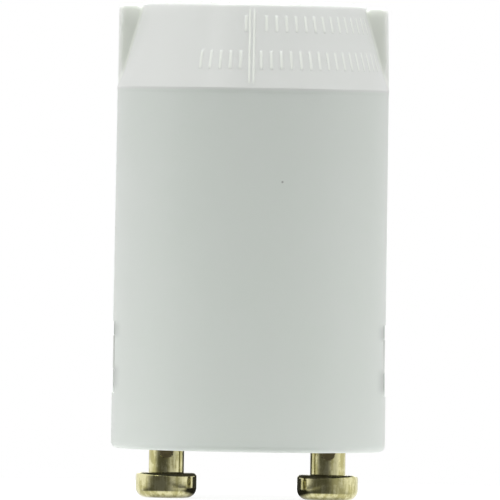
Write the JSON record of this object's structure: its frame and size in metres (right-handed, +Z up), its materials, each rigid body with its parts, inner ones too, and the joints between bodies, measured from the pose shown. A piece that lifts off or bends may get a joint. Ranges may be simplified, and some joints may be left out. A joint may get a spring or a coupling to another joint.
{
  "type": "fluorescent starter",
  "caption": "Glow starter for fluorescent lamps: round moulded canister with a conical top and grip wings, closed by a base with headed brass contact pins.",
  "frame": {"origin": "midway between the two contact pins, on the plane of their end faces", "axes": "+Z up the canister's axis from the pins to the flat end; +X through the two contact pins; -Y faces the picture's camera"},
  "size_m": [0.0214, 0.0214, 0.0388],
  "materials": {
    "canister_plastic": "satin moulded polycarbonate, greenish white",
    "base_plastic": "plain moulded, pale grey",
    "brass": "turned, slightly dull",
    "bulb_glass": "clear",
    "nickel_wire": "drawn wire",
    "bimetal": "rolled strip",
    "capacitor_resin": "dipped resin"
  },
  "bodies": {
    "root": {"canister": "canister_plastic", "base_disc": "base_plastic", "contact_pin_left": "brass", "contact_pin_right": "brass", "glow_bulb_envelope": "bulb_glass", "fixed_electrode": "nickel_wire", "bimetal_post": "nickel_wire", "bimetal_strip": "bimetal", "capacitor_body": "capacitor_resin", "capacitor_lead_left": "nickel_wire", "capacitor_lead_right": "nickel_wire"}
  },
  "joints": []
}
